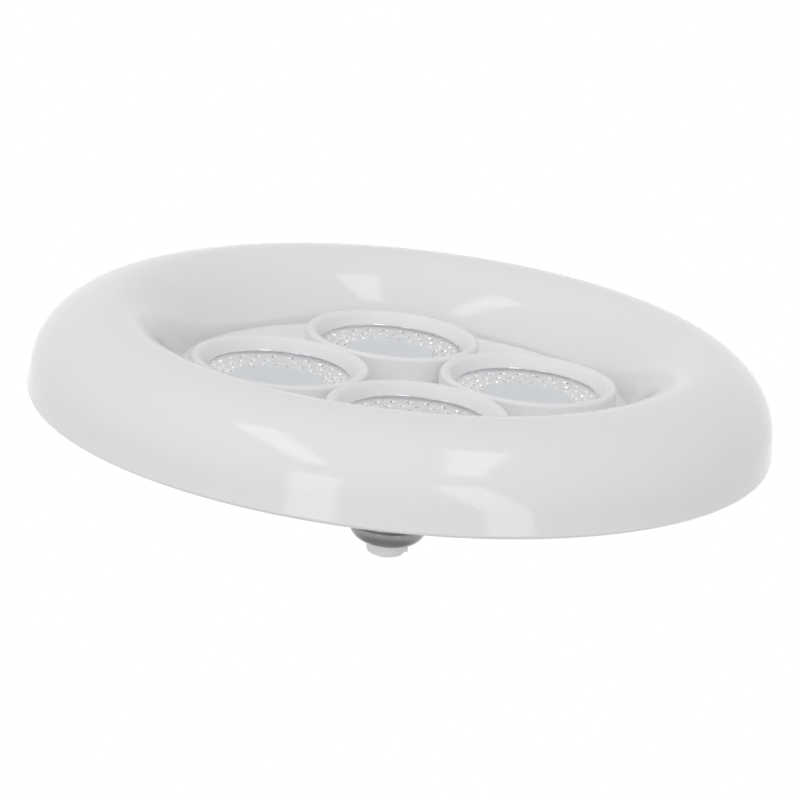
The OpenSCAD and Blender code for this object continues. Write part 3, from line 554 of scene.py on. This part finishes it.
LENS_MATERIALS = [CRYSTAL, FROST, SILVERED, BEAD, MIRROR]
for index in range(4):
    edge_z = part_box(f"spot_lens_{index + 1}")[0].z / MM + LENS_DIP
    centre = (SPOT_R * MM * math.cos(math.pi / 2 * index), SPOT_R * MM * math.sin(math.pi / 2 * index))
    points, faces, kinds = lens_parts(centre, edge_z)
    lens = add_piece(f"crystal_lens_{index + 1}", points, faces, LENS_MATERIALS, STONE_SHARP, kinds)
    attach(lens, "root")
    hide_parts(f"spot_lens_{index + 1}")


# Spot light sources
def led_packages():
    """White packages, each with a yellow window in a sloped recess."""
    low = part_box("spot_leds")[0].z / MM
    points, faces, kinds = [], [], []
    half = (LED_SIZE[0] / 2, LED_SIZE[1] / 2)
    for spot in range(4):
        places = [(0.0, 0.0, 0.0)] + [(2 * math.pi * k / SPOT_LED_COUNT,) * 2 + (SPOT_LED_R,)
                                      for k in range(SPOT_LED_COUNT)]
        for angle, turn, radius in places:
            rotation = Matrix.Rotation(math.pi / 2 * spot, 3, "Z")
            inner = Matrix.Rotation(turn, 3, "Z")
            first = len(points)
            for width, below_top in LED_LEVELS:
                z = LED_SIZE[2] - below_top
                for x, y in ((-1, -1), (1, -1), (1, 1), (-1, 1)):
                    local = Vector((radius + x * half[0] * width, y * half[1] * width, 0))
                    at = rotation @ (inner @ local + Vector((SPOT_R, 0, 0)))
                    points.append((at.x * MM, at.y * MM, (low + z) * MM))
            faces.append((first + 3, first + 2, first + 1, first))
            kinds.append(0)
            for level in range(len(LED_LEVELS) - 1):
                a = first + 4 * level
                for i in range(4):
                    faces.append((a + i, a + (i + 1) % 4, a + 4 + (i + 1) % 4, a + 4 + i))
                    kinds.append(0)
            window = first + 4 * (len(LED_LEVELS) - 1)
            faces.append((window, window + 1, window + 2, window + 3))
            kinds.append(1)
    return points, faces, kinds


points, faces, kinds = led_packages()
leds = add_piece("spot_led_packages", points, faces, [SLOT_FINISHES["led_package"], PHOSPHOR], 30, kinds)
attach(leds, "root")
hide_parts("spot_leds")


# Screw cap
def screw_shell():
    """Rolled shell: shoulder, a real helical thread that fades in and out, plain skirt and turned-in lip."""
    low, high = (corner.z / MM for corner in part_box("screw_shell"))
    thread_z = low + SHOULDER_H
    root_r = THREAD_R - THREAD_DEPTH
    turns = SHELL_TURNS
    shoulder = []
    for t in np.linspace(0, 1, SHOULDER_STEPS + 1)[:-1]:
        a = t * math.pi / 2
        rise = SHOULDER_BULGE * (1 - math.cos(a)) + (1 - SHOULDER_BULGE) * t
        shoulder.append((SHELL_RIM_R + (THREAD_R - SHELL_RIM_R) * math.sin(a), low + SHOULDER_H * rise))
    heights = np.linspace(thread_z, high, SHELL_HEIGHTS)

    def radius(z, angle):
        along = z - thread_z
        reach = THREAD_TURNS * THREAD_PITCH
        fade_in = along / (THREAD_FADE_IN * THREAD_PITCH)
        fade_out = max(reach - along, 0) / (THREAD_FADE_OUT * THREAD_PITCH)
        fade = min(fade_in, fade_out, 1.0)
        wave = (1 - math.cos(2 * math.pi * along / THREAD_PITCH - angle)) / 2
        return THREAD_R - (THREAD_R - root_r) * wave * fade

    grid = []
    for k in range(turns):
        angle = 2 * math.pi * k / turns
        outside = shoulder + [(radius(z, angle), z) for z in heights]
        inside = [(r - SHELL_T, z) for r, z in outside[::-1] if z > low + SHELL_T + SHELL_INNER_START]
        lip_r = SHELL_RIM_R - SHELL_LIP_W + SHELL_LIP_GAP
        section = outside + inside + [(SHELL_RIM_R - SHELL_T, low + SHELL_T), (lip_r, low + SHELL_T),
                                      (lip_r, low), (SHELL_RIM_R - SHELL_LIP_ROUND, low)]
        grid.append(section)
    length = len(grid[0])
    points = [(r * MM * math.cos(2 * math.pi * k / turns), r * MM * math.sin(2 * math.pi * k / turns), z * MM)
              for k, section in enumerate(grid) for r, z in section]
    faces = [(k * length + j, k * length + (j + 1) % length, (k + 1) % turns * length + (j + 1) % length,
              (k + 1) % turns * length + j) for k in range(turns) for j in range(length)]
    return points, faces


shell = add_piece("cap_shell", *screw_shell(), [SLOT_FINISHES["nickel"]], SHELL_SHARP)
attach(shell, "root")
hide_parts("screw_shell")


# Camera
CAMERA_AZIMUTH = math.radians(-7.5)
CAMERA_ELEVATION = math.radians(17.0)
CAMERA_ROLL = math.radians(6.23)
CAMERA_DISTANCE = 1.25
CAMERA_SENSOR_WIDTH = 36
CAMERA_LENS = 167.67
CAMERA_SHIFT_Y = 0.01725
LOOK_AT = Vector((0, 0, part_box("ring_diffuser")[0].z))

back = Vector((math.sin(CAMERA_AZIMUTH) * math.cos(CAMERA_ELEVATION),
               -math.cos(CAMERA_AZIMUTH) * math.cos(CAMERA_ELEVATION), math.sin(CAMERA_ELEVATION)))
right = Vector((math.cos(CAMERA_AZIMUTH), math.sin(CAMERA_AZIMUTH), 0))
up = back.cross(right)
axis_x = math.cos(CAMERA_ROLL) * right + math.sin(CAMERA_ROLL) * up
axis_y = -math.sin(CAMERA_ROLL) * right + math.cos(CAMERA_ROLL) * up
camera = bpy.data.objects.new("camera", bpy.data.cameras.new("camera"))
scene.collection.objects.link(camera)
camera.matrix_world = Matrix.Translation(LOOK_AT + CAMERA_DISTANCE * back) @ Matrix(
    (axis_x, axis_y, back)).transposed().to_4x4()
camera.data.sensor_width = CAMERA_SENSOR_WIDTH
camera.data.lens = CAMERA_LENS
camera.data.shift_y = CAMERA_SHIFT_Y
scene.camera = camera


# Light
def from_camera_side(x, y, z):
    """A point given as right of, away from and above the lamp as the camera sees it."""
    return Matrix.Rotation(CAMERA_AZIMUTH, 3, "Z") @ Vector((x, y, z))


def soft_box(name, centre, along, width, normal, radiance):
    """A rectangular soft box that faces normal, with its long side along and its brightness a radiance."""
    data = bpy.data.lights.new(name, "AREA")
    data.shape = "RECTANGLE"
    data.size, data.size_y = width, along.length
    data.energy = radiance * math.pi * width * along.length
    lamp = bpy.data.objects.new(name, data)
    scene.collection.objects.link(lamp)
    y, z = along.normalized(), -normal.normalized()
    lamp.matrix_world = Matrix.Translation(centre) @ Matrix((y.cross(z), y, z)).transposed().to_4x4()
    lamp.visible_camera = False
    return lamp


def ceiling_box(name, near, far, width, height=1.3, radiance=0.6):
    """A soft box overhead, its middle line from near to far, all as shares of its height."""
    near, far = (from_camera_side(x * height, y * height, height) for x, y in (near, far))
    soft_box(name, (near + far) / 2 + LOOK_AT, far - near, width * height, Vector((0, 0, -1)), radiance)


def wall_box(name, low, high, width, distance=1.6, radiance=0.52):
    """An upright soft box beside the camera, its middle line from low to high, as shares of its distance."""
    low, high = (from_camera_side(x * distance, -distance, z * distance) for x, z in (low, high))
    normal = from_camera_side(0, 1, 0)
    soft_box(name, (low + high) / 2 + LOOK_AT, high - low, width * distance, normal, radiance)


ceiling_box("soft_box_top_right", (0.415, -0.95), (0.27, -0.12), 0.225)
ceiling_box("soft_box_top_left", (-0.55, -1.15), (-0.53, -0.12), 0.23)
wall_box("soft_box_left", (-0.42, -0.35), (-0.42, 0.46), 0.3)
wall_box("soft_box_right", (0.8, -0.5), (0.355, 0.59), 0.33)

FILL_HEIGHT = 1.3
FILL_SIDE = 1.3
FILL_RADIANCE = 0.5
fill = soft_box("overhead_fill", LOOK_AT + Vector((0, 0, FILL_HEIGHT)), Vector((0, FILL_SIDE, 0)),
                FILL_SIDE, Vector((0, 0, -1)), FILL_RADIANCE)
fill.visible_glossy = False
fill.visible_transmission = False


# World and floor
def seen_directly(tree):
    """1 for camera, mirror and glass rays, and 0 for the rays that carry soft light."""
    path = tree.nodes.new("ShaderNodeLightPath")
    total = path.outputs["Is Camera Ray"]
    for name in ("Is Glossy Ray", "Is Transmission Ray"):
        add = tree.nodes.new("ShaderNodeMath")
        add.operation = "MAXIMUM"
        link(tree, total, add.inputs[0])
        link(tree, path.outputs[name], add.inputs[1])
        total = add.outputs[0]
    return total


BRIGHT_SIDE = (-0.4, -0.9, -0.14)
ROOM_DARKEST = 0.19
ROOM_BRIGHTEST = 1.02
world = bpy.data.worlds.new("studio")
scene.world = world
world.use_nodes = True
tree = world.node_tree
background = tree.nodes["Background"]
background.inputs["Color"].default_value = (1, 1, 1, 1)
coords = tree.nodes.new("ShaderNodeTexCoord")
toward = tree.nodes.new("ShaderNodeVectorMath")
toward.operation = "DOT_PRODUCT"
toward.inputs[1].default_value = from_camera_side(*BRIGHT_SIDE)
link(tree, coords.outputs["Generated"], toward.inputs[0])
room = tree.nodes.new("ShaderNodeMapRange")
room.inputs["From Min"].default_value = -1
room.inputs["To Min"].default_value = ROOM_DARKEST
room.inputs["To Max"].default_value = ROOM_BRIGHTEST
link(tree, toward.outputs["Value"], room.inputs["Value"])
strength = tree.nodes.new("ShaderNodeMapRange")
strength.inputs["To Max"].default_value = 1.0
link(tree, room.outputs["Result"], strength.inputs["To Min"])
link(tree, seen_directly(tree), strength.inputs["Value"])
link(tree, strength.outputs["Result"], background.inputs["Strength"])

FLOOR_Z = -1.6
FLOOR_HALF = 40.0
FLOOR_FADE_FROM = 1.0
FLOOR_FADE_TO = 2.2
floor = add_piece("floor", [(-FLOOR_HALF, -FLOOR_HALF, FLOOR_Z), (FLOOR_HALF, -FLOOR_HALF, FLOOR_Z),
                            (FLOOR_HALF, FLOOR_HALF, FLOOR_Z), (-FLOOR_HALF, FLOOR_HALF, FLOOR_Z)],
                  [(0, 1, 2, 3)], [])
floor_paint = bpy.data.materials.new("floor_paint")
floor_paint.use_nodes = True
tree = floor_paint.node_tree
shader = tree.nodes["Principled BSDF"]
shader.inputs["Base Color"].default_value = (0.92, 0.92, 0.92, 1)
shader.inputs["Roughness"].default_value = 0.8
glow = tree.nodes.new("ShaderNodeEmission")
glow.inputs["Strength"].default_value = 1.0
distance = tree.nodes.new("ShaderNodeVectorMath")
distance.operation = "LENGTH"
link(tree, object_coords(tree, (1, 1, 0)), distance.inputs[0])
reach = tree.nodes.new("ShaderNodeMapRange")
reach.inputs["From Min"].default_value = FLOOR_FADE_FROM
reach.inputs["From Max"].default_value = FLOOR_FADE_TO
link(tree, distance.outputs["Value"], reach.inputs["Value"])
both = tree.nodes.new("ShaderNodeMath")
both.operation = "MULTIPLY"
link(tree, seen_directly(tree), both.inputs[0])
link(tree, reach.outputs["Result"], both.inputs[1])
blend = tree.nodes.new("ShaderNodeMixShader")
link(tree, both.outputs[0], blend.inputs["Fac"])
link(tree, shader.outputs["BSDF"], blend.inputs[1])
link(tree, glow.outputs["Emission"], blend.inputs[2])
link(tree, blend.outputs["Shader"], tree.nodes["Material Output"].inputs["Surface"])
floor.data.materials.append(floor_paint)

scene.view_settings.view_transform = "Standard"
